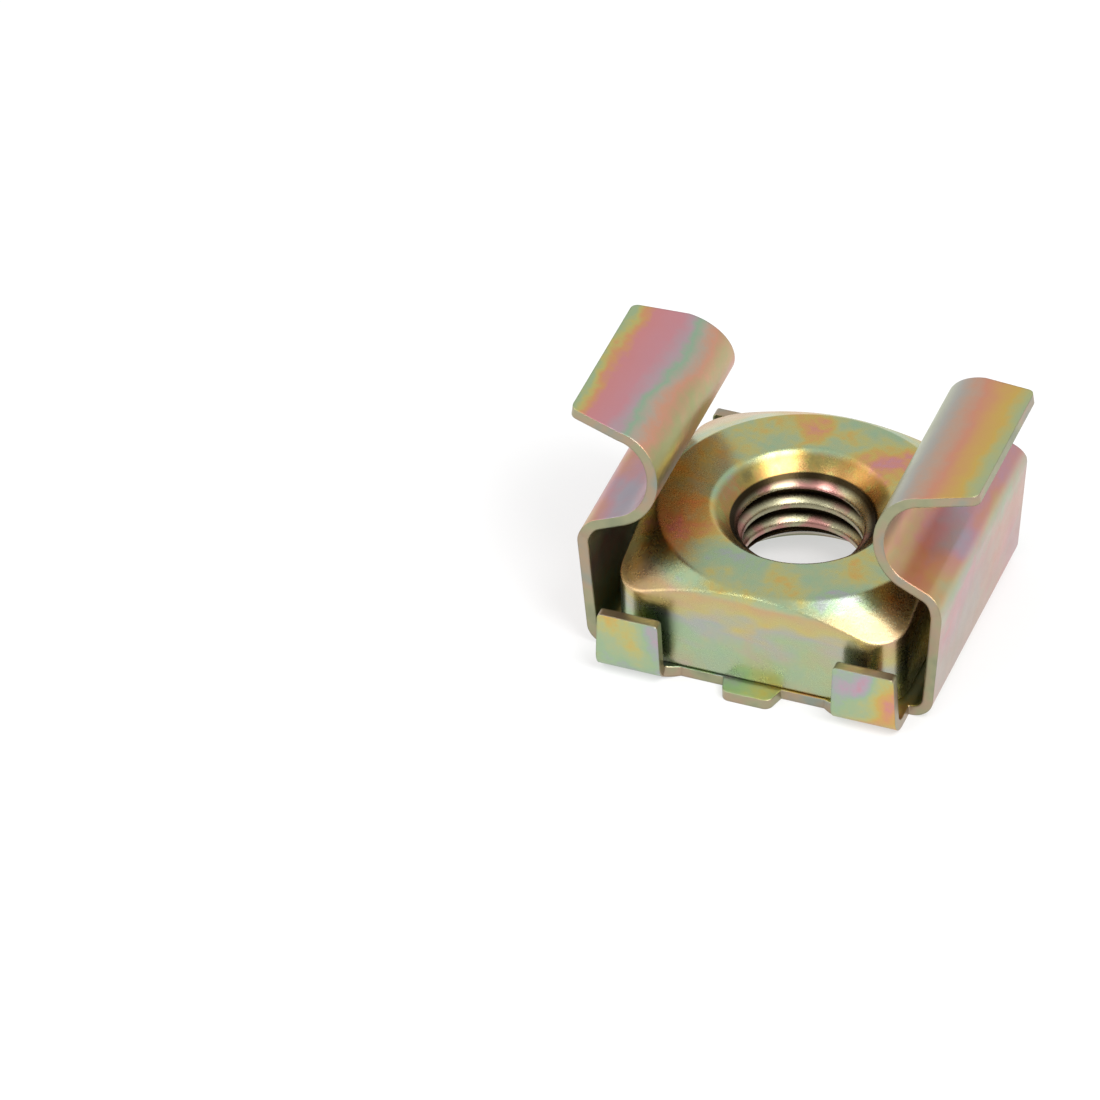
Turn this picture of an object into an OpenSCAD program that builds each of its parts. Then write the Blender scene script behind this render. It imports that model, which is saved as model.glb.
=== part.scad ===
// Cage nut for a square panel hole: a floating square nut in a folded spring-steel cage.
// The origin is on the thread's axis, in the underside of the cage's base plate. Z points
// out of the panel, X across the two spring legs and Y along them.

/* [Square nut] */
// Width of the square nut across its flats
nut_af = 12.3; // [11:0.1:14]
// Thickness of the square nut
nut_h = 4.55; // [4:0.05:6]
// Radius of the nut's four upright corners
nut_corner_r = 1.6; // [0.6:0.1:2.4]
// Diameter of the round flat that the corner chamfer leaves on the nut's upper face
nut_crown_d = 13.7; // [12.5:0.1:15]
// Slope of the corner chamfer below the upper face, in degrees
nut_crown_slope = 45; // [25:1:55]
// Radius that the nut's straight upper and lower edges are rounded to
nut_edge_r = 0.3; // [0.1:0.05:0.5]
// Nominal diameter of the screw thread
thread_d = 6; // [4:1:8]
// Pitch of the screw thread
thread_pitch = 1; // [0.7:0.05:1.25]
// Diameter of the countersinks where they meet the nut's faces
countersink_d = 7.4; // [6.6:0.1:9]

/* [Sheet] */
// Thickness of the spring sheet
sheet_t = 0.45; // [0.35:0.05:0.6]
// Inner radius of the bends round the base plate
base_bend_r = 0.5; // [0.3:0.05:0.8]
// Inner radius of the bend at the top of each side wall
top_bend_r = 0.65; // [0.4:0.05:1]

/* [Base plate] */
// Play of the nut towards each side wall
side_play = 0.77; // [0.6:0.01:1.2]
// Play of the nut towards each pair of end tabs
end_play = 0.5; // [0.3:0.05:1]
// Diameter of the screw's clearance hole in the base plate
plate_hole_d = 8.15; // [7.6:0.05:9.5]
// Radius that the clearance hole's outer edge is rounded to
hole_edge_r = 0.16; // [0.05:0.01:0.25]
// Width of each end tab
tab_w = 2.75; // [2:0.05:3.5]
// Height of the end tabs above the underside of the base
tab_h = 3.05; // [2:0.05:4]
// How much each side of a tab leans in towards its top
tab_draft = 0.08; // [0:0.01:0.2]
// Radius of the tabs' upper corners
tab_corner_r = 0.15; // [0.05:0.01:0.4]
// Distance from an end tab to the bend line of the side wall
tab_gap = 0.07; // [0.05:0.01:0.3]
// Depth of the notches beside the tongue, measured from the tabs' outer faces
notch_d = 0.9; // [0.7:0.05:1.2]
// Width of the sloping flank where a notch runs up to a tab
notch_flank = 0.6; // [0.2:0.05:0.8]
// Width of the flat tongue where it leaves the plate
tongue_w = 2.5; // [2:0.1:3.5]
// Width of the tongue at its tip, before its corners are rounded
tongue_tip_w = 2; // [1.6:0.1:2.5]
// Distance that the tongue stands out of the notches
tongue_l = 0.86; // [0.4:0.02:1]
// Radius of the tongue's two corners
tongue_r = 0.3; // [0.1:0.05:0.5]

/* [Walls and spring legs] */
// Length of the two side walls
wall_l = 10.8; // [9.8:0.1:12]
// Outward lean of the side walls, in degrees
wall_lean = 4.5; // [0:0.5:8]
// Height of the straight wall above the nut's upper face
wall_over_nut = 0.17; // [0:0.01:0.6]
// Rise of the shoulders above level, in degrees
shoulder_rise = 20.5; // [5:0.5:40]
// Outer radius of the roll in each leg
roll_r = 2.07; // [1.6:0.01:2.4]
// Rise of the wings above level, in degrees
wing_rise = 7.7; // [0:0.1:20]
// Length of the straight part of a wing
wing_l = 2.27; // [1:0.01:3.5]
// Radius of the wings' corners
wing_corner_r = 0.35; // [0.1:0.05:0.8]
// Slope of the legs' side edges up to the top of the roll, in degrees
leg_taper = 16.8; // [5:0.1:20]
// Slope of the wings' side edges, in degrees
wing_taper = 13; // [0:0.1:20]

/* [Panel] */
// Side of the square panel hole that the legs snap into
panel_hole = 9.5; // [9:0.1:10]
// How far each leg springs out past the edge of the panel hole
leg_preload = 0.3; // [0.1:0.05:0.6]
// Play between a leg's side edges and the panel hole, on each side
leg_play = 0.15; // [0.05:0.01:0.4]

/* [Hidden] */
$fn = 96;
eps = 0.01;
// a length well past the outside of the part, for cutters
far = 2 * nut_af;
// facets along each bend's arc, and along a rounded edge of the nut
bend_steps = 12;
edge_steps = 4;

// thread: the bore is left at the thread's minor diameter, which the thread keeps inside its walls
thread_depth = 0.5 * thread_pitch;
bore_d = thread_d - 2 * thread_depth;
countersink_h = (countersink_d - bore_d) / 2;

// base plate and tabs
wall_x = nut_af / 2 + side_play + sheet_t;
tab_y = nut_af / 2 + end_play + sheet_t;
bend_r = base_bend_r + sheet_t;
bend1_x = wall_x + bend_r * tan(wall_lean) - bend_r / cos(wall_lean);
tab_x1 = bend1_x - tab_gap;
tab_x0 = tab_x1 - tab_w;
notch_y = tab_y - notch_d;
tongue_y = notch_y + tongue_l;

// side wall: from the base bend's end, at mid-sheet, to its straight top
wall_z0 = bend_r - (base_bend_r + sheet_t / 2) * sin(wall_lean);
wall_z1 = sheet_t + nut_h + wall_over_nut;
wall_run = (wall_z1 - wall_z0) / cos(wall_lean);

// centre of the bend at the wall's top
bend2_x = bend1_x + (base_bend_r - top_bend_r) * cos(wall_lean) + wall_run * sin(wall_lean);
bend2_z = bend_r - (base_bend_r - top_bend_r) * sin(wall_lean) + wall_run * cos(wall_lean);

// centre of the roll: its hollow side stands just outside the edge of the panel hole
roll_in = roll_r - sheet_t;
roll_x = panel_hole / 2 + leg_preload + roll_in;
link_r = top_bend_r + sheet_t + roll_in;
shoulder_l = (bend2_x + link_r * sin(shoulder_rise) - roll_x) / cos(shoulder_rise);
roll_z = bend2_z + link_r * cos(shoulder_rise) + shoulder_l * sin(shoulder_rise);

// half width of a leg at the middle of its roll and at the underside of its wing, and the
// wing's farthest reach
leg_y = panel_hole / 2 - leg_play;
leg_top_y = leg_y - roll_in * tan(leg_taper);
wing_tip_x = roll_x + wing_l * cos(wing_rise) - roll_in * sin(wing_rise);

// Points along an arc about a centre, from one angle to another
function arc(centre, r, from, to, steps = bend_steps) = [
    for (i = [0:steps]) let (angle = from + (to - from) * i / steps)
        centre + r * [cos(angle), sin(angle)]
];

// Half of the cage's section: base, side wall, shoulder, roll and wing. It runs out along the
// sheet's outer face and comes back along its inner face.
module leg_section() {
    bend1 = [bend1_x, bend_r];
    bend2 = [bend2_x, bend2_z];
    roll = [roll_x, roll_z];
    wing = wing_l * [cos(wing_rise), sin(wing_rise)];
    wing_up = [-sin(wing_rise), cos(wing_rise)];
    polygon(concat(
        [[0, 0]],
        arc(bend1, bend_r, -90, -wall_lean),
        arc(bend2, top_bend_r + sheet_t, -wall_lean, 90 - shoulder_rise),
        arc(roll, roll_in, 270 - shoulder_rise, 90 + wing_rise),
        [roll + roll_in * wing_up + wing, roll + roll_r * wing_up + wing],
        arc(roll, roll_r, 90 + wing_rise, 270 - shoulder_rise),
        arc(bend2, top_bend_r, 90 - shoulder_rise, -wall_lean),
        arc(bend1, base_bend_r, -wall_lean, -90),
        [[0, sheet_t]]
    ));
}

// Half of the section along the tabs
module tab_section() {
    bend = [tab_y - bend_r, bend_r];
    polygon(concat(
        [[0, 0]],
        arc(bend, bend_r, -90, 0),
        [[tab_y, tab_h], [tab_y - sheet_t, tab_h]],
        arc(bend, base_bend_r, 0, -90),
        [[0, sheet_t]]
    ));
}

// Draws its children on both sides of the plane across the given direction
module both_ways(direction) {
    children();
    mirror(direction) children();
}

// What lies outside a rounded corner, with the round's centre at the origin. One side of the
// corner faces along X; the other faces along Y, or leans from it towards X.
module corner_waste(r, lean = 0) {
    difference() {
        polygon(2 * r * [[0, 0], [sin(lean), cos(lean)], [1, 1], [1, 0]]);
        circle(r);
    }
}

// Cuts that narrow one leg: up the roll, seen along X, and along the wing, seen from above
module leg_edge_cuts() {
    reach = (roll_z - sheet_t) * tan(leg_taper);
    rotate([90, 0, 90]) linear_extrude(far)
        polygon([
            [leg_y + reach, sheet_t],
            [leg_top_y, roll_z + roll_in],
            [leg_top_y, far],
            [far, far],
            [far, sheet_t]
        ]);
    tip_y = leg_top_y - (wing_tip_x - roll_x) * tan(wing_taper);
    corner_y = tip_y + wing_corner_r * (tan(wing_taper) - 1 / cos(wing_taper));
    translate([0, 0, roll_z]) linear_extrude(far) {
        polygon([[roll_x, leg_top_y], [wing_tip_x, tip_y], [far, tip_y], [far, far], [roll_x, far]]);
        translate([wing_tip_x - wing_corner_r, corner_y]) corner_waste(wing_corner_r, wing_taper);
    }
}

module legs() {
    difference() {
        rotate([90, 0, 0]) linear_extrude(wall_l, center = true) both_ways([1, 0]) leg_section();
        both_ways([1, 0, 0]) both_ways([0, 1, 0]) leg_edge_cuts();
    }
}

// Outline of one tab seen along Y, with its sides drawn in towards the top
module tab_front() {
    top0 = tab_x0 + tab_draft;
    top1 = tab_x1 - tab_draft;
    difference() {
        polygon([
            [tab_x0 - notch_flank, -eps],
            [tab_x0 - notch_flank, bend_r / 2],
            [tab_x0, bend_r / 2],
            [top0, tab_h],
            [top1, tab_h],
            [tab_x1, bend_r],
            [tab_x1, -eps]
        ]);
        translate([top1 - tab_corner_r, tab_h - tab_corner_r]) corner_waste(tab_corner_r);
        translate([top0 + tab_corner_r, tab_h - tab_corner_r]) mirror([1, 0])
            corner_waste(tab_corner_r);
    }
}

// Plan of one quarter of the base where the tabs leave it; the notch beside the tab slopes up to it
module tab_plan() {
    polygon([
        [0, 0],
        [tab_x1, 0],
        [tab_x1, tab_y + eps],
        [tab_x0, tab_y + eps],
        [tab_x0, tab_y - sheet_t],
        [tab_x0 - notch_flank, notch_y],
        [0, notch_y]
    ]);
}

module tabs() {
    intersection() {
        rotate([90, 0, 90]) linear_extrude(2 * tab_x1, center = true) both_ways([1, 0]) tab_section();
        both_ways([1, 0, 0]) both_ways([0, 1, 0]) linear_extrude(tab_h + eps) tab_plan();
        rotate([90, 0, 0]) linear_extrude(far, center = true) both_ways([1, 0]) tab_front();
    }
}

module tongue() {
    flank = atan2((tongue_w - tongue_tip_w) / 2, tongue_l);
    corner_x = tongue_tip_w / 2 + tongue_r * (tan(flank) - 1 / cos(flank));
    linear_extrude(sheet_t) difference() {
        polygon([
            [-tongue_w / 2, notch_y - sheet_t],
            [tongue_w / 2, notch_y - sheet_t],
            [tongue_w / 2, notch_y],
            [tongue_tip_w / 2, tongue_y],
            [-tongue_tip_w / 2, tongue_y],
            [-tongue_w / 2, notch_y]
        ]);
        both_ways([1, 0]) translate([corner_x, tongue_y - tongue_r]) mirror([1, -1])
            corner_waste(tongue_r, flank);
    }
}

// The flat middle of the base, out to the notches
module plate() {
    linear_extrude(sheet_t)
        square([2 * (tab_x0 - notch_flank), 2 * notch_y], center = true);
}

// The screw's hole, with its outer edge rounded
module clearance_hole() {
    translate([0, 0, -eps]) cylinder(d = plate_hole_d, h = sheet_t + 2 * eps);
    rotate_extrude() translate([plate_hole_d / 2, 0]) difference() {
        translate([-eps, -eps]) square(hole_edge_r + eps);
        translate([hole_edge_r, hole_edge_r]) circle(hole_edge_r);
    }
}

module spring_cage() {
    color("#b9b48c") difference() {
        union() {
            legs();
            tabs();
            plate();
            both_ways([0, 1, 0]) tongue();
        }
        clearance_hole();
    }
}

// Outline of the nut seen from the side, rounded at its upper and lower edges
module nut_side() {
    x = nut_af / 2 - nut_edge_r;
    z = nut_h - nut_edge_r;
    polygon(concat(
        arc([x, nut_edge_r], nut_edge_r, -90, 0, edge_steps),
        arc([x, z], nut_edge_r, 0, 90, edge_steps),
        arc([-x, z], nut_edge_r, 90, 180, edge_steps),
        arc([-x, nut_edge_r], nut_edge_r, 180, 270, edge_steps)
    ));
}

module nut_blank() {
    crown_r = nut_crown_d / 2;
    drop = nut_h / tan(nut_crown_slope);
    intersection() {
        rotate([90, 0, 0]) linear_extrude(far, center = true) nut_side();
        rotate([90, 0, 90]) linear_extrude(far, center = true) nut_side();
        linear_extrude(nut_h) difference() {
            square(nut_af, center = true);
            for (a = [0:90:270]) rotate(a)
                translate((nut_af / 2 - nut_corner_r) * [1, 1]) corner_waste(nut_corner_r);
        }
        rotate_extrude() polygon([[0, 0], [crown_r + drop, 0], [crown_r, nut_h], [0, nut_h]]);
    }
}

module square_nut() {
    color("#b8a878") translate([0, 0, sheet_t]) difference() {
        nut_blank();
        translate([0, 0, -eps]) cylinder(d = bore_d, h = nut_h + 2 * eps);
        for (side = [0, 1]) translate([0, 0, side * nut_h]) mirror([0, 0, side])
            translate([0, 0, -eps]) cylinder(
                d1 = countersink_d + 2 * eps,
                d2 = bore_d,
                h = countersink_h + eps
            );
    }
}

spring_cage();
square_nut();
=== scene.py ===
import math

import bmesh
import bpy
from mathutils import Matrix, Vector


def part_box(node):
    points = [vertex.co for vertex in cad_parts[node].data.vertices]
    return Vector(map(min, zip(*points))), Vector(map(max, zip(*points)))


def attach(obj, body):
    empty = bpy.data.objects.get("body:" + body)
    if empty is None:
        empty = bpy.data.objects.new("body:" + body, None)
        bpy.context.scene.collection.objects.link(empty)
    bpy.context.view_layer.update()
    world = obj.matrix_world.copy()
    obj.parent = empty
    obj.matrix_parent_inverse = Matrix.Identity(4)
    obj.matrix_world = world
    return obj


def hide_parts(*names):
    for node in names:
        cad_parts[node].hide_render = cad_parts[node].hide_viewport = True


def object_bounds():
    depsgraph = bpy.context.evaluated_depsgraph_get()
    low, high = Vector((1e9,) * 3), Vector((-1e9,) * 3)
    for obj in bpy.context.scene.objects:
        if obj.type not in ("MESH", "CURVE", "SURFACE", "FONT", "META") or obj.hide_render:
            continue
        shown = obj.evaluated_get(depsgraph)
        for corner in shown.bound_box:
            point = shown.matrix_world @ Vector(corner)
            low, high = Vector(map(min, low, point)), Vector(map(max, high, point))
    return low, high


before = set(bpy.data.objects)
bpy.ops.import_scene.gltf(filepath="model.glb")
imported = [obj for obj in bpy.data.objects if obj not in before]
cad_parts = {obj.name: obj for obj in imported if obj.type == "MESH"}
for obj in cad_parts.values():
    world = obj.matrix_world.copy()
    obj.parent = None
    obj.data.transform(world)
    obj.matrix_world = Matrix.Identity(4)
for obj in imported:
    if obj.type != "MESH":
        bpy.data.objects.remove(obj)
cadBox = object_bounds()
print("frame loaded:", sorted(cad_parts))

mm = 0.001
cageLow, cageHigh = [Vector(corner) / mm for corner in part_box("spring_cage")]
nutLow, nutHigh = [Vector(corner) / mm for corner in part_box("square_nut")]


# ---- small tools: pieces are shaped in millimetres and brought to metres at the end

def selectOnly(piece):
    bpy.ops.object.select_all(action="DESELECT")
    piece.select_set(True)
    bpy.context.view_layer.objects.active = piece


def startPiece(name, addPrimitive, **options):
    bpy.ops.object.select_all(action="DESELECT")
    addPrimitive(**options)
    piece = bpy.context.object
    piece.name = piece.data.name = name
    bpy.ops.object.transform_apply(location=True, rotation=True, scale=True)
    bpy.ops.object.mode_set(mode="EDIT")
    bpy.ops.mesh.select_all(action="DESELECT")
    return piece


def middleOf(item):
    if hasattr(item, "co"):
        return item.co
    return sum((v.co for v in item.verts), Vector()) / len(item.verts)


def pick(kind, test):
    # selects the vertices, edges or faces whose middle passes the test
    bpy.ops.mesh.select_mode(type=kind)
    bpy.ops.mesh.select_all(action="DESELECT")
    mesh = bmesh.from_edit_mesh(bpy.context.object.data)
    items = {"VERT": mesh.verts, "EDGE": mesh.edges, "FACE": mesh.faces}[kind]
    count = 0
    for item in items:
        if test(middleOf(item)):
            item.select_set(True)
            count += 1
    bmesh.update_edit_mesh(bpy.context.object.data)
    return count


def near(a, b, within=0.004):
    return abs(a - b) < within


def cutAt(point, normal, clearOuter=False):
    bpy.ops.mesh.bisect(plane_co=point, plane_no=normal, clear_outer=clearOuter, threshold=1e-5)


def shove(offset):
    bpy.ops.mesh.extrude_edges_move(TRANSFORM_OT_translate={"value": offset})


def applyModifier(piece, kind, **settings):
    modifier = piece.modifiers.new(kind.lower(), kind)
    for key, value in settings.items():
        setattr(modifier, key, value)
    selectOnly(piece)
    bpy.ops.object.modifier_apply(modifier=modifier.name)


def tidyMesh(merge=0.002):
    bpy.ops.object.mode_set(mode="EDIT")
    bpy.ops.mesh.select_all(action="SELECT")
    bpy.ops.mesh.remove_doubles(threshold=merge)
    bpy.ops.mesh.normals_make_consistent(inside=False)
    bpy.ops.object.mode_set(mode="OBJECT")


def toMetres(piece):
    selectOnly(piece)
    bpy.ops.transform.resize(value=(mm, mm, mm), center_override=(0, 0, 0))
    bpy.ops.object.transform_apply(location=True, rotation=True, scale=True)


# ---- spring cage: one quarter of its outer face, folded up, mirrored and given its thickness

cage = {
    "sheet": 0.45,
    "holeRadius": 4.075,
    "holeEdge": 0.16,        # bevel at the hole's outer edge
    "holeRim": 0.35,         # width of the ring of even faces round the hole
    "baseBend": 0.95,        # outer radius round the base
    "topBend": 1.10,         # outer radius at the top of a wall
    "wallHalf": 5.4,
    "wallLean": 4.5,
    "wallTop": 5.17,
    "wallFoot": 7.37,        # where the wall's outer face would meet the floor
    "shoulderRise": 20.5,
    "rollInner": 1.62,
    "rollAxisX": 6.67,
    "wingRise": 7.7,
    "wingCorner": 0.28,
    "legHalf": 4.6,          # at the height of the roll's axis
    "legTaper": 16.8,
    "wingTaper": 13.0,
    "tabLeft": 3.67, "tabRight": 6.42, "tabTop": 3.05, "tabDraft": 0.08, "tabCorner": 0.15,
    "notch": 6.2, "flank": 0.6,
    "tongueHalf": 1.25, "tongueTipHalf": 1.0, "tongueTip": 7.06, "tongueCorner": 0.3,
    "frameSquare": 4.8,      # square of plate kept for the ring round the hole
    "bendSteps": 16, "rollSteps": 36, "holeSteps": 144,
}


def spinUp(centre, axis, angle, steps):
    bpy.ops.mesh.spin(steps=steps, angle=-math.radians(angle), center=centre, axis=axis)


def foldLeg(c):
    lean, rise, wing = [math.radians(c[k]) for k in ("wallLean", "shoulderRise", "wingRise")]
    footX = c["wallFoot"] + c["baseBend"] * (math.tan(lean) - 1 / math.cos(lean))
    footR = c["baseBend"]
    run = (c["wallTop"] - footR + (footR - c["sheet"] / 2) * math.sin(lean)) / math.cos(lean)
    inner = footR - c["topBend"]
    topX = footX + inner * math.cos(lean) + run * math.sin(lean)
    topZ = footR - inner * math.sin(lean) + run * math.cos(lean)
    linkR = c["topBend"] + c["rollInner"]
    shoulder = (topX + linkR * math.sin(rise) - c["rollAxisX"]) / math.cos(rise)
    rollZ = topZ + linkR * math.cos(rise) + shoulder * math.sin(rise)
    wingRun = (cageHigh.x - c["rollAxisX"] + c["rollInner"] * math.sin(wing)) / math.cos(wing)
    along = (0, -1, 0)
    pick("EDGE", lambda p: near(p.x, footX))
    spinUp((footX, 0, footR), along, 90 - c["wallLean"], c["bendSteps"])
    shove((run * math.sin(lean), 0, run * math.cos(lean)))
    spinUp((topX, 0, topZ), along, 90 - c["shoulderRise"] + c["wallLean"], c["bendSteps"])
    shove((-shoulder * math.cos(rise), 0, shoulder * math.sin(rise)))
    spinUp((c["rollAxisX"], 0, rollZ), along, c["shoulderRise"] + c["wingRise"] - 180,
           c["rollSteps"])
    # the leg is narrowed up to the wing's root, then the wing goes on with its own slope
    taper = math.radians(c["legTaper"])
    rootX = c["rollAxisX"] - c["rollInner"] * math.sin(wing)
    rootZ = rollZ + c["rollInner"] * math.cos(wing)
    pick("FACE", lambda p: p.z > c["sheet"] and p.y < c["wallHalf"] and p.x > c["rollAxisX"] - 2.5)
    cutAt((0, c["legHalf"], rollZ), (0, math.cos(taper), math.sin(taper)), clearOuter=True)
    pick("EDGE", lambda p: near(p.x, rootX) and near(p.z, rootZ))
    shove((wingRun * math.cos(wing), 0, wingRun * math.sin(wing)))
    pick("VERT", lambda p: near(p.x, cageHigh.x, 0.02) and p.y > 1)
    inwards = (cageHigh.x - rootX) * math.tan(math.radians(c["wingTaper"]))
    bpy.ops.transform.translate(value=(0, -inwards, 0))
    bpy.ops.mesh.bevel(offset=c["wingCorner"], segments=5, affect="VERTICES")


def foldTab(c):
    bendY = cageHigh.y - c["baseBend"]
    pick("EDGE", lambda p: near(p.y, bendY) and p.x > c["tabLeft"] - c["flank"])
    spinUp((0, bendY, c["baseBend"]), (1, 0, 0), 90, c["bendSteps"])
    shove((0, 0, c["tabTop"] - c["baseBend"]))
    isTab = lambda p: p.y > bendY + 0.002 and p.x > c["tabLeft"] - c["flank"] and p.z > 0.0005
    pick("FACE", isTab)
    cutAt((c["tabLeft"], 0, 0), (1, 0, 0))
    pick("FACE", lambda p: isTab(p) and p.x < c["tabLeft"])
    slope = (cageHigh.y - c["sheet"] - c["notch"]) / c["flank"]
    flankX = c["tabLeft"] - c["flank"]
    cutAt((flankX, c["notch"], 0), (-slope, 1, 0))
    pick("FACE", lambda p: isTab(p) and p.x < c["tabLeft"]
         and p.y - c["notch"] > slope * (p.x - flankX))
    bpy.ops.mesh.delete(type="FACE")
    pick("EDGE", lambda p: near(p.z, c["tabTop"]))
    middle = (c["tabLeft"] + c["tabRight"]) / 2
    narrower = 1 - 2 * c["tabDraft"] / (c["tabRight"] - c["tabLeft"])
    bpy.ops.transform.resize(value=(narrower, 1, 1), center_override=(middle, 0, 0))
    pick("VERT", lambda p: near(p.z, c["tabTop"]) and abs(p.x - middle) > 1)
    bpy.ops.mesh.bevel(offset=c["tabCorner"], segments=3, affect="VERTICES")


def cutPlate(c):
    # the flat quarter of the base: cut into cells, and the cells outside the blank deleted
    footX = c["wallFoot"] + c["baseBend"] * (math.tan(math.radians(c["wallLean"]))
                                            - 1 / math.cos(math.radians(c["wallLean"])))
    bendY = cageHigh.y - c["baseBend"]
    tabStart = c["tabLeft"] - c["flank"]
    plate = startPiece("springCage", bpy.ops.mesh.primitive_plane_add, size=1,
                       location=(0.5, 0.5, cageLow.z))
    bpy.ops.mesh.select_all(action="SELECT")
    bpy.ops.transform.resize(value=(footX, c["tongueTip"], 1), center_override=(0, 0, 0))
    for x in (c["tongueHalf"], tabStart, c["frameSquare"], c["tabRight"]):
        bpy.ops.mesh.select_all(action="SELECT")
        cutAt((x, 0, 0), (1, 0, 0))
    for y in (c["frameSquare"], c["wallHalf"], bendY, c["notch"]):
        bpy.ops.mesh.select_all(action="SELECT")
        cutAt((0, y, 0), (0, 1, 0))
    pick("FACE", lambda p: (p.x > c["tongueHalf"] and p.y > c["notch"])
         or (p.x > tabStart and p.y > bendY)
         or (p.x > c["tabRight"] and p.y > c["wallHalf"])
         or (p.x < c["frameSquare"] and p.y < c["frameSquare"]))
    bpy.ops.mesh.delete(type="FACE")
    # tongue: drawn in towards its tip, with a rounded corner
    pick("VERT", lambda p: near(p.x, c["tongueHalf"]) and near(p.y, c["tongueTip"]))
    bpy.ops.transform.translate(value=(c["tongueTipHalf"] - c["tongueHalf"], 0, 0))
    bpy.ops.mesh.bevel(offset=c["tongueCorner"] * 0.85, segments=5, affect="VERTICES")
    # a quarter ring of even faces round the hole, joined to the square round it
    bpy.ops.mesh.select_all(action="DESELECT")
    bpy.ops.mesh.primitive_circle_add(vertices=c["holeSteps"], radius=c["holeRadius"],
                                      location=(0, 0, cageLow.z))
    onRing = lambda p: math.hypot(p.x, p.y) < c["holeRadius"] + 0.05
    pick("VERT", lambda p: onRing(p) and (p.x < -0.01 or p.y < -0.01))
    bpy.ops.mesh.delete(type="VERT")
    side, rim = c["frameSquare"], c["holeRadius"] + c["holeRim"]
    pick("EDGE", onRing)
    shove((0, 0, 0))
    wider = rim / c["holeRadius"]
    bpy.ops.transform.resize(value=(wider, wider, 1), center_override=(0, 0, 0))
    pick("EDGE", lambda p: near(math.hypot(p.x, p.y), rim, 0.03)
         or (near(p.x, side) and p.y < side) or (near(p.y, side) and p.x < side))
    bpy.ops.mesh.bridge_edge_loops()
    return plate


def makeCage(c):
    piece = cutPlate(c)
    foldTab(c)
    foldLeg(c)
    bpy.ops.object.mode_set(mode="OBJECT")
    applyModifier(piece, "MIRROR", use_axis=(True, True, False), merge_threshold=0.001)
    tidyMesh(0.001)
    bpy.ops.object.mode_set(mode="EDIT")
    bpy.ops.mesh.select_all(action="SELECT")
    mesh = bmesh.from_edit_mesh(piece.data)
    floorFace = min(mesh.faces, key=lambda f: middleOf(f).z)
    if floorFace.normal.z > 0:
        bpy.ops.mesh.flip_normals()
    bpy.ops.object.mode_set(mode="OBJECT")
    piece.data.materials.append(None)    # the sheet's faces, then its cut edges
    piece.data.materials.append(None)
    applyModifier(piece, "SOLIDIFY", thickness=c["sheet"], offset=-1, use_even_offset=True,
                  use_rim=True, material_offset_rim=1)
    bpy.ops.object.mode_set(mode="EDIT")
    pick("EDGE", lambda p: near(p.z, cageLow.z)
         and near(math.hypot(p.x, p.y), c["holeRadius"], 0.02))
    bpy.ops.mesh.bevel(offset=c["holeEdge"], segments=4, affect="EDGES")
    bpy.ops.object.mode_set(mode="OBJECT")
    toMetres(piece)
    return piece


# ---- square nut: a bevelled block turned at its corners, bored, countersunk and tapped

nut = {
    "cornerRadius": 1.6,
    "crownRadius": 5.9,      # of the flat left by the turned chamfer
    "crownSlope": 30,
    "edgeRound": 0.16,
    "minorRadius": 2.5, "majorRadius": 3.0, "pitch": 1.0,
    "crestWidth": 0.25, "rootWidth": 0.11,
    "countersink": 3.7,
    "countersinkSoften": 0.12,
}


def closeRing(name, profile, steps=160):
    # a profile in XZ turned about Z, as a cutter; both its ends lie on the axis
    piece = startPiece(name, bpy.ops.mesh.primitive_plane_add, size=1, location=(0.5, 0, 0))
    bpy.ops.mesh.select_all(action="SELECT")
    bpy.ops.mesh.delete(type="VERT")
    mesh = bmesh.from_edit_mesh(piece.data)
    points = [mesh.verts.new((x, 0, z)) for x, z in profile]
    for a, b in zip(points, points[1:]):
        mesh.edges.new((a, b))
    bmesh.update_edit_mesh(piece.data)
    bpy.ops.mesh.select_mode(type="EDGE")
    bpy.ops.mesh.select_all(action="SELECT")
    bpy.ops.mesh.spin(steps=steps, angle=2 * math.pi, center=(0, 0, 0), axis=(0, 0, 1))
    bpy.ops.object.mode_set(mode="OBJECT")
    tidyMesh(0.001)
    return piece


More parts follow.
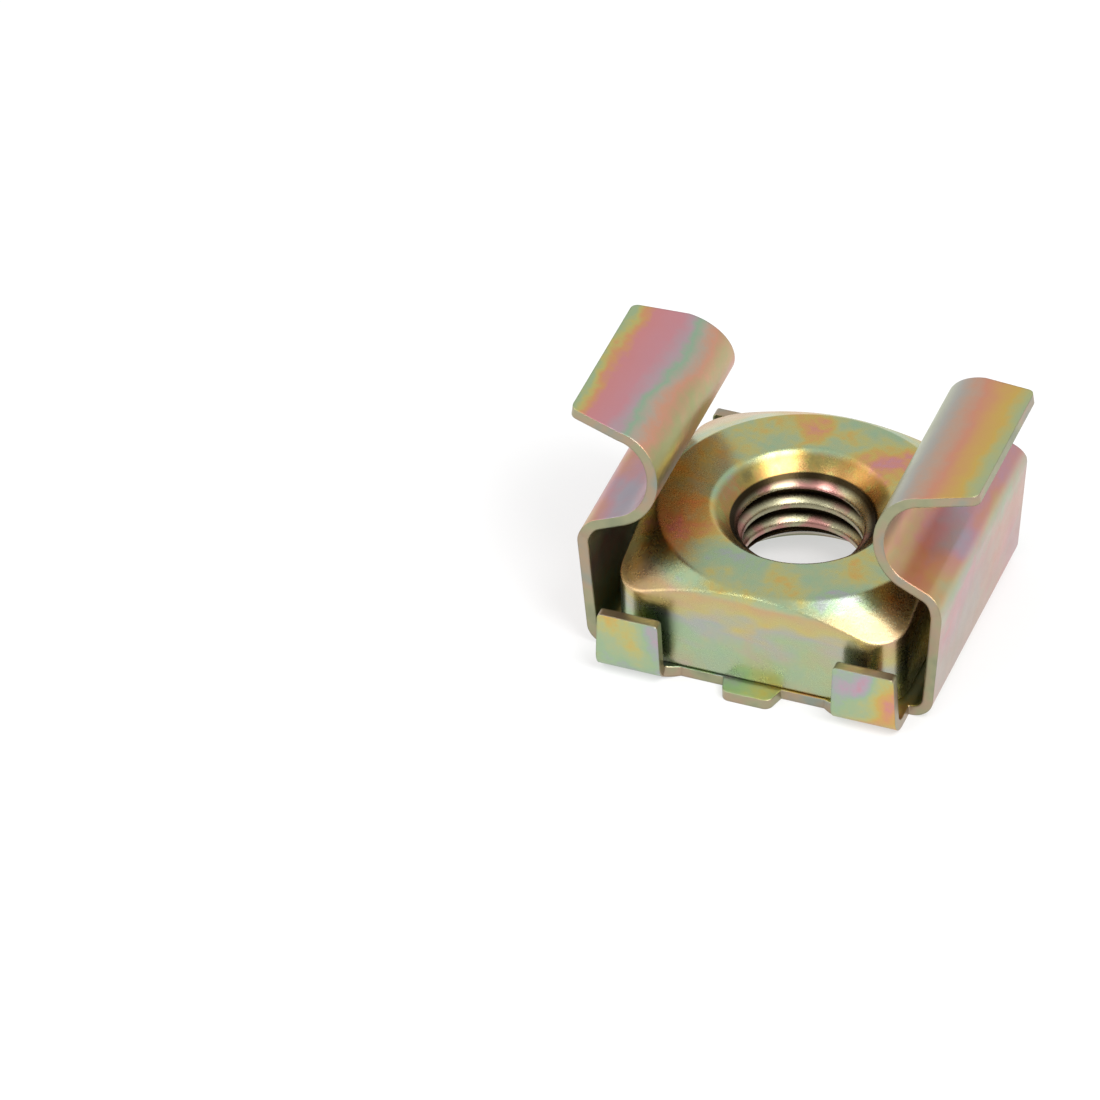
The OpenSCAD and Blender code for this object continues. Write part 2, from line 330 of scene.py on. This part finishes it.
def threadRidge(n):
    # the tap's thread: its closed section wound up past both faces
    past = 1.3
    low, high = nutLow.z - past, nutHigh.z + past
    half = (n["pitch"] - n["crestWidth"]) / 2
    slope = (half - n["rootWidth"] / 2) / (n["majorRadius"] - n["minorRadius"])
    inside = 0.12
    section = [(n["minorRadius"] - inside, -half - slope * inside),
               (n["majorRadius"], -n["rootWidth"] / 2),
               (n["majorRadius"], n["rootWidth"] / 2),
               (n["minorRadius"] - inside, half + slope * inside)]
    between = (n["minorRadius"] + n["majorRadius"]) / 2
    piece = startPiece("tapThread", bpy.ops.mesh.primitive_plane_add, size=1,
                       location=(between, 0, low), rotation=(math.pi / 2, 0, 0))
    mesh = bmesh.from_edit_mesh(piece.data)
    corners = sorted(mesh.verts, key=lambda v: math.atan2(v.co.z - low, between - v.co.x))
    for corner, (x, z) in zip(corners, section):
        corner.co = (x, 0, low + z)
    bmesh.update_edit_mesh(piece.data)
    bpy.ops.mesh.select_all(action="SELECT")
    bpy.ops.mesh.delete(type="ONLY_FACE")
    bpy.ops.object.mode_set(mode="OBJECT")
    turns = math.ceil((high - low) / n["pitch"])
    applyModifier(piece, "SCREW", angle=2 * math.pi, screw_offset=n["pitch"], iterations=turns,
                  steps=96, render_steps=96, axis="Z")
    bpy.ops.object.mode_set(mode="EDIT")
    bpy.ops.mesh.select_all(action="SELECT")
    bpy.ops.mesh.remove_doubles(threshold=0.0005)
    bpy.ops.mesh.select_all(action="DESELECT")
    bpy.ops.mesh.select_non_manifold()
    bpy.ops.mesh.fill_holes(sides=4)
    bpy.ops.mesh.select_all(action="SELECT")
    bpy.ops.mesh.normals_make_consistent(inside=False)
    bpy.ops.object.mode_set(mode="OBJECT")
    return piece


def cutWith(piece, cutter, operation):
    applyModifier(piece, "BOOLEAN", operation=operation, solver="EXACT", object=cutter)
    bpy.data.objects.remove(cutter)


def makeNut(n):
    middle = (nutLow + nutHigh) / 2
    size = nutHigh - nutLow
    piece = startPiece("squareNut", bpy.ops.mesh.primitive_cube_add, size=1,
                       location=middle, scale=size)
    pick("EDGE", lambda p: near(p.z, middle.z))
    bpy.ops.mesh.bevel(offset=n["cornerRadius"], segments=14, affect="EDGES")
    pick("EDGE", lambda p: near(p.z, nutHigh.z) or near(p.z, nutLow.z))
    bpy.ops.mesh.bevel(offset=n["edgeRound"], segments=5, affect="EDGES")
    bpy.ops.object.mode_set(mode="OBJECT")
    r, top, low = n["crownRadius"], nutHigh.z, nutLow.z
    drop = math.tan(math.radians(n["crownSlope"]))
    crown = closeRing("crown", [(0, top + 0.5), (r - 0.5 / drop, top + 0.5),
                                (r + 0.12, top - 0.12 * drop - 0.004),
                                (r + 5, top - 5 * drop), (r + 5, low - 1), (0, low - 1)], 240)
    cutWith(piece, crown, "INTERSECT")
    sink, s, bore = n["countersink"], n["countersinkSoften"], n["minorRadius"]
    depth = sink - bore
    profile = [(0, top + 1), (sink + 0.9 * s, top + 1), (sink + 0.9 * s, top + 0.01),
               (sink + 0.3 * s, top - 0.3 * s), (sink - 0.8 * s, top - 0.9 * s),
               (bore, top - depth), (bore, low + depth),
               (sink - 0.8 * s, low + 0.9 * s), (sink + 0.3 * s, low + 0.3 * s),
               (sink + 0.9 * s, low - 0.01), (sink + 0.9 * s, low - 1), (0, low - 1)]
    cutWith(piece, threadRidge(n), "DIFFERENCE")
    cutWith(piece, closeRing("countersinkTool", profile, 192), "DIFFERENCE")
    tidyMesh(0.002)
    toMetres(piece)
    return piece


def shadeSmooth(piece, angle):
    selectOnly(piece)
    bpy.ops.object.shade_smooth_by_angle(angle=math.radians(angle))
    applyModifier(piece, "WEIGHTED_NORMAL", mode="FACE_AREA", weight=50, keep_sharp=True)


cagePiece = makeCage(cage)
shadeSmooth(cagePiece, 35)
print("cage modelled:", len(cagePiece.data.polygons), "faces")
nutPiece = makeNut(nut)
shadeSmooth(nutPiece, 35)
print("nut modelled:", len(nutPiece.data.polygons), "faces")

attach(cagePiece, "root")
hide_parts("spring_cage")
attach(nutPiece, "root")
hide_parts("square_nut")


# ---- finishes

class Wire:
    # an output socket; arithmetic on it adds Math nodes
    def __init__(self, shader, socket):
        self.shader, self.socket = shader, socket

    def math(self, operation, a, b=0.0, c=0.0):
        return self.shader.add("ShaderNodeMath", {"operation": operation}, {0: a, 1: b, 2: c})

    def __add__(self, other):
        return self.math("ADD", self, other)

    __radd__ = __add__

    def __mul__(self, other):
        return self.math("MULTIPLY", self, other)

    __rmul__ = __mul__

    def __sub__(self, other):
        return self.math("SUBTRACT", self, other)

    def __rsub__(self, other):
        return self.math("SUBTRACT", other, self)

    def clamped(self):
        return self.shader.add("ShaderNodeClamp", {}, {0: self})

    def absolute(self):
        return self.math("ABSOLUTE", self)

    def root(self):
        return self.math("SQRT", self)

    def fract(self):
        return self.math("FRACT", self)

    def over(self, low, high):
        # 0 below low, 1 above high, smooth between
        return self.shader.add("ShaderNodeMapRange", {"interpolation_type": "SMOOTHSTEP"},
                               {0: self, 1: low, 2: high})


class Shader:
    def __init__(self, name):
        self.material = bpy.data.materials.new(name)
        self.material.use_nodes = True
        self.tree = self.material.node_tree
        self.tree.nodes.clear()

    def add(self, kind, settings=None, values=None, give=0):
        node = self.tree.nodes.new(kind)
        for key, value in (settings or {}).items():
            if key == "stops":
                self.setStops(node.color_ramp, value)
            else:
                setattr(node, key, value)
        for key, value in (values or {}).items():
            if isinstance(value, Wire):
                self.tree.links.new(value.socket, node.inputs[key])
            else:
                node.inputs[key].default_value = value
        return Wire(self, node.outputs[give] if len(node.outputs) else None)

    def setStops(self, ramp, stops):
        while len(ramp.elements) > 1:
            ramp.elements.remove(ramp.elements[0])
        ramp.elements[0].position, ramp.elements[0].color = stops[0]
        for position, colour in stops[1:]:
            ramp.elements.new(position).color = colour

    def mix(self, factor, a, b):
        return self.add("ShaderNodeMix", {"data_type": "RGBA"}, {0: factor, 6: a, 7: b}, give=2)

    def tints(self, factor, stops):
        # a ramp through written colours
        stops = [(position, tint(code)) for position, code in stops]
        return self.add("ShaderNodeValToRGB", {"stops": stops}, {0: factor})

    def noise(self, where, scale, detail=2.0, rough=0.5, distort=0.0):
        values = {"Vector": where, "Scale": scale, "Detail": detail, "Roughness": rough,
                  "Distortion": distort}
        return self.add("ShaderNodeTexNoise", {}, values)

    def stretched(self, where, scale, turn=(0, 0, 0), shift=(0, 0, 0)):
        return self.add("ShaderNodeMapping", {}, {"Vector": where, "Scale": scale, "Rotation": turn,
                                                  "Location": shift})

    def finish(self, surface):
        self.add("ShaderNodeOutputMaterial", {}, {"Surface": surface})
        return self.material


def tint(code):
    # a written colour to the values that a socket takes
    parts = [int(code[i:i + 2], 16) / 255 for i in (1, 3, 5)]
    return tuple(p / 12.92 if p < 0.04045 else ((p + 0.055) / 1.055) ** 2.4 for p in parts) + (1.0,)


# the order of tints that the chromate film runs through as it grows thicker
filmColours = ["#a9b48c", "#b9b578", "#c8aa62", "#cf9c6c", "#cd8d84", "#c58f9a", "#b49fab",
               "#a2aaa4", "#9db491"]


def filmStops(colours):
    # even steps through the tints and back to the first
    stops = [(i / len(colours), code) for i, code in enumerate(colours)]
    return stops + [(1.0, colours[0])]


def filmTint(s, place, tune):
    # soft patches and finer clouds of tint, as the dip leaves them
    film = s.noise(s.stretched(place, tune["broad"], shift=tune["shift"]), 1.0, 2.5, 0.55, 0.4)
    small = s.noise(s.stretched(place, tune["fine"]), 1.0, 3.0, 0.6, 0.3)
    specks = s.noise(place, 2600.0, 3.0, 0.65)
    level = ((film - 0.5) * tune["swing"] + (small - 0.5) * tune["mottle"]
             + (specks - 0.5) * 0.3 + tune["start"])
    return s.tints(level.fract(), filmStops(filmColours))


def axes(s, place):
    # the three coordinates in millimetres
    parts = s.add("ShaderNodeSeparateXYZ", {}, {0: place})
    outputs = parts.socket.node.outputs
    return [Wire(s, outputs[i]) * 1000 for i in range(3)]


relief = {
    "grainScale": 9000.0, "grainGloss": 0.14, "grainHeight": 0.6,
    "waveScale": 900.0, "waveGloss": 0.16, "waveHeight": 0.8,
    "depth": 0.00003,
}


def dress(s, place, colour, tune):
    # fine grain in gloss and height, and edges rounded by wear
    r = relief
    grain = s.noise(place, r["grainScale"], 3.0, 0.6)
    waves = s.noise(place, r["waveScale"], 2.0, 0.5)
    rough = (grain - 0.5) * r["grainGloss"] + (waves - 0.5) * r["waveGloss"] + tune["rough"]
    height = grain * r["grainHeight"] + waves * r["waveHeight"]
    worn = s.add("ShaderNodeBevel", {"samples": 6}, {"Radius": tune["worn"]})
    bump = s.add("ShaderNodeBump", {}, {"Strength": tune["bump"], "Distance": r["depth"],
                                        "Height": height, "Normal": worn})
    surface = s.add("ShaderNodeBsdfPrincipled", {}, {
        "Base Color": colour, "Metallic": 1.0, "Roughness": rough, "Normal": bump})
    return s.finish(surface)


def cageFinish():
    tune = {"broad": (230, 90, 170), "fine": (700, 520, 700), "shift": (0.31, 0.12, 0.74),
            "swing": 2.3, "mottle": 0.45, "start": 0.05,
            "rough": 0.36, "worn": 0.00012, "bump": 0.10,
            "wallBlend": (6.9, 7.35), "shoulderBlend": (5.4, 6.0), "wingBlend": (7.6, 8.7)}
    s = Shader("cageZinc")
    place = s.add("ShaderNodeTexCoord", give=3)
    x, y, z = axes(s, place)
    colour = filmTint(s, place, tune)
    clouds = s.noise(s.stretched(place, (300, 150, 300)), 1.0, 3.0, 0.55, 0.5)
    drift = clouds + (s.noise(place, 1500.0, 4.0, 0.65) - 0.5) * 0.45
    # walls: grey-lilac, going green towards the top bend
    lilac = s.tints(z * 0.16 + (drift - 0.5) * 0.9 - 0.05, [
        (0.0, "#c2a0a0"), (0.35, "#b8a6a2"), (0.6, "#c79a98"), (0.8, "#aeb09c"), (1.0, "#a4b496")])
    colour = s.mix(x.absolute().over(*tune["wallBlend"]) * 0.8, colour, lilac)
    # shoulders and the hollow of the roll: rose with orange and green clouds
    rose = s.tints(s.noise(s.stretched(place, (330, 170, 420)), 1.0, 3.0, 0.55) + (drift - 0.5) * 0.3, [
        (0.25, "#a6b08c"), (0.38, "#c6a070"), (0.48, "#cc8c80"), (0.58, "#c08c9c"), (0.7, "#a89cae")])
    colour = s.mix(z.over(*tune["shoulderBlend"]) * 0.85, colour, rose)
    # wings: bands that run along the bend, pink on the one and gold on the other
    inward = (8.75 - x.absolute()) * 0.24 + (drift - 0.5) * 0.42
    pinkWing = s.tints(inward, [
        (0.0, "#a3b58c"), (0.06, "#c0b570"), (0.12, "#d09a6c"), (0.2, "#cd8b8c"), (0.46, "#c98f96"),
        (0.6, "#b79ea4"), (0.68, "#96b096"), (0.76, "#b5a898"), (0.86, "#cf9a80"), (1.0, "#a8a878")])
    goldWing = s.tints(inward, [
        (0.0, "#a6b48e"), (0.1, "#b4b47c"), (0.2, "#ccac5c"), (0.36, "#cfa068"), (0.5, "#cf9278"),
        (0.62, "#c0a08c"), (0.74, "#aaa8a0"), (1.0, "#a9b090")])
    wings = s.mix(x.over(-0.5, 0.5), pinkWing, goldWing)
    colour = s.mix((z + (drift - 0.5) * 1.2).over(*tune["wingBlend"]), colour, wings)
    return dress(s, place, colour, tune)


def edgeFinish():
    tune = {"rough": 0.34, "worn": 0.00012, "bump": 0.25}
    s = Shader("cutEdge")
    place = s.add("ShaderNodeTexCoord", give=3)
    patch = s.noise(place, 420.0, 3.0, 0.6)
    colour = s.tints(patch, [
        (0.3, "#858b72"), (0.45, "#9c9b7c"), (0.56, "#a8957e"), (0.7, "#90968a")])
    return dress(s, place, colour, tune)


def nutFinish():
    tune = {"broad": (200, 200, 260), "fine": (650, 650, 650), "shift": (0.1, 0.4, 0.2),
            "swing": 1.5, "mottle": 0.8, "start": 0.06, "rough": 0.27, "worn": 0.0002, "bump": 0.10,
            "flankTop": (4.2, 4.8), "countersinkEdge": (3.45, 3.72),
            "threadEdge": (2.98, 3.04), "threadEnds": (1.6, 1.9), "crestToRoot": (2.52, 2.86)}
    s = Shader("nutZinc")
    place = s.add("ShaderNodeTexCoord", give=3)
    x, y, z = axes(s, place)
    colour = filmTint(s, place, tune)
    # the upright faces: gold below their upper edge, grey-green further down
    clouds = s.noise(s.stretched(place, (190, 190, 420), shift=(0.6, 0.2, 0.1)), 1.0, 3.0, 0.55)
    flanks = s.tints(z * 0.2 + (clouds - 0.5) * 1.1, [
        (0.0, "#b09cae"), (0.14, "#a2ac98"), (0.42, "#9db392"), (0.56, "#a9a8a4"), (0.68, "#c3b070"),
        (0.84, "#c99c74"), (1.0, "#c4b890")])
    crownPart = z.over(*tune["flankTop"]).over(0.0, 1.0)
    colour = s.mix((1 - crownPart) * 0.75, colour, flanks)
    # the cut bore is more bronze than the faces; its thread gets painted shade, with some grime, in its
    # roots and a painted highlight on its crests
    radius = (x * x + y * y).root()
    bronze = s.tints(s.noise(place, 480.0, 4.0, 0.7), [
        (0.3, "#6f6030"), (0.42, "#8e7a3a"), (0.52, "#a0743e"), (0.6, "#8c8a4c"), (0.75, "#b09a58")])
    colour = s.mix((1 - radius.over(*tune["countersinkEdge"])) * 0.85, colour, bronze)
    fromMiddle = (z - (nutLow.z + nutHigh.z) / 2).absolute()
    inThread = (1 - radius.over(*tune["threadEdge"])) * (1 - fromMiddle.over(*tune["threadEnds"]))
    # painted highlight on the thread's crests, pale to pinkish
    crestHighlight = s.mix(s.noise(place, 700.0, 2.0).over(0.45, 0.6), tint("#b4b090"), tint("#c08c84"))
    # from the crests' painted highlight out to painted shade, with some grime, in the roots
    thread = s.mix(radius.over(*tune["crestToRoot"]), crestHighlight, tint("#2c2416"))
    colour = s.mix(inThread, colour, thread)
    # small dark pits
    cells = s.add("ShaderNodeTexVoronoi", {"feature": "F1"}, {"Vector": place, "Scale": 520.0})
    pits = (1 - cells.over(0.05, 0.12)) * s.noise(place, 160.0, 1.0).over(0.56, 0.62)
    colour = s.mix(pits * 0.6, colour, tint("#6f6448"))
    return dress(s, place, colour, tune)


cageZinc, cutEdge, nutZinc = cageFinish(), edgeFinish(), nutFinish()
cagePiece.data.materials[0], cagePiece.data.materials[1] = cageZinc, cutEdge
nutPiece.data.materials.append(nutZinc)
print("finishes made")


# ---- floor, light and camera

ground = {"side": 0.8, "behind": 0.1, "drop": 0.02 * mm, "shade": 0.82, "glow": 0.55}

bpy.ops.object.select_all(action="DESELECT")
bpy.ops.mesh.primitive_plane_add(size=ground["side"],
                                 location=(0, ground["behind"], cadBox[0][2] - ground["drop"]))
floor = bpy.context.object
floor.name = "floor"
s = Shader("paleFloor")
rays = s.tree.nodes.new("ShaderNodeLightPath")
plain = s.add("ShaderNodeBsdfDiffuse", {}, {"Color": (ground["shade"],) * 3 + (1,)})
glow = s.add("ShaderNodeEmission", {}, {"Color": (1, 1, 1, 1), "Strength": 1.0})
seen = Wire(s, rays.outputs["Is Camera Ray"]) + Wire(s, rays.outputs["Is Glossy Ray"])
pale = s.add("ShaderNodeMixShader", {}, {0: seen.clamped() * ground["glow"], 1: plain, 2: glow})
floor.data.materials.append(s.finish(pale))

world = bpy.data.worlds.new("studio")
bpy.context.scene.world = world
world.use_nodes = True
sky = world.node_tree.nodes["Background"].inputs
sky["Color"].default_value = (1, 1, 1, 1)
sky["Strength"].default_value = 0.85

lamps = {
    "keyLight": {"place": (0.09, -0.05, 0.16), "size": (0.09, 0.09), "power": 0.24},
    "edgeLight": {"place": (-0.052, -0.12, 0.144), "size": (0.05, 0.03), "power": 0.045},
    "fillLight": {"place": (-0.14, -0.06, 0.10), "size": (0.10, 0.10), "power": 0.07},
}


def addLamp(name, place, aim, size, power):
    bpy.ops.object.light_add(type="AREA", location=place)
    lamp = bpy.context.object
    lamp.name = name
    lamp.data.shape = "RECTANGLE"
    lamp.data.size, lamp.data.size_y = size
    lamp.data.energy = power
    lamp.rotation_euler = (Vector(place) - aim).to_track_quat("Z", "Y").to_euler()


centre = Vector((0, 0, 0.004))
for name, lamp in lamps.items():
    addLamp(name, lamp["place"], centre, lamp["size"], lamp["power"])

# angles in degrees; the object stands aside from the middle of the picture
view = {"azimuth": 19.65, "elevation": 39.15, "roll": -0.18, "distance": 0.3823, "lens": 307.8,
        "target": (0, 0, 0.0052), "right": 0.0103, "up": 0.00195}
az, el = math.radians(view["azimuth"]), math.radians(view["elevation"])
back = Vector((math.sin(az) * math.cos(el), -math.cos(az) * math.cos(el), math.sin(el)))
side = Vector((math.cos(az), math.sin(az), 0))
above = back.cross(side)
place = Vector(view["target"]) + back * view["distance"]
aim = Vector(view["target"]) - side * view["right"] - above * view["up"]
bpy.ops.object.camera_add(location=place)
camera = bpy.context.object
camera.data.lens = view["lens"]
camera.data.sensor_width = 36
camera.data.clip_start = 0.01
forward = (place - aim).normalized()
level = above.cross(forward).normalized()
turn = Matrix((level, forward.cross(level), forward)).transposed()
camera.rotation_euler = (turn @ Matrix.Rotation(math.radians(view["roll"]), 3, "Z")).to_euler()
bpy.context.scene.camera = camera
bpy.context.scene.view_settings.view_transform = "Standard"
print("stage set")
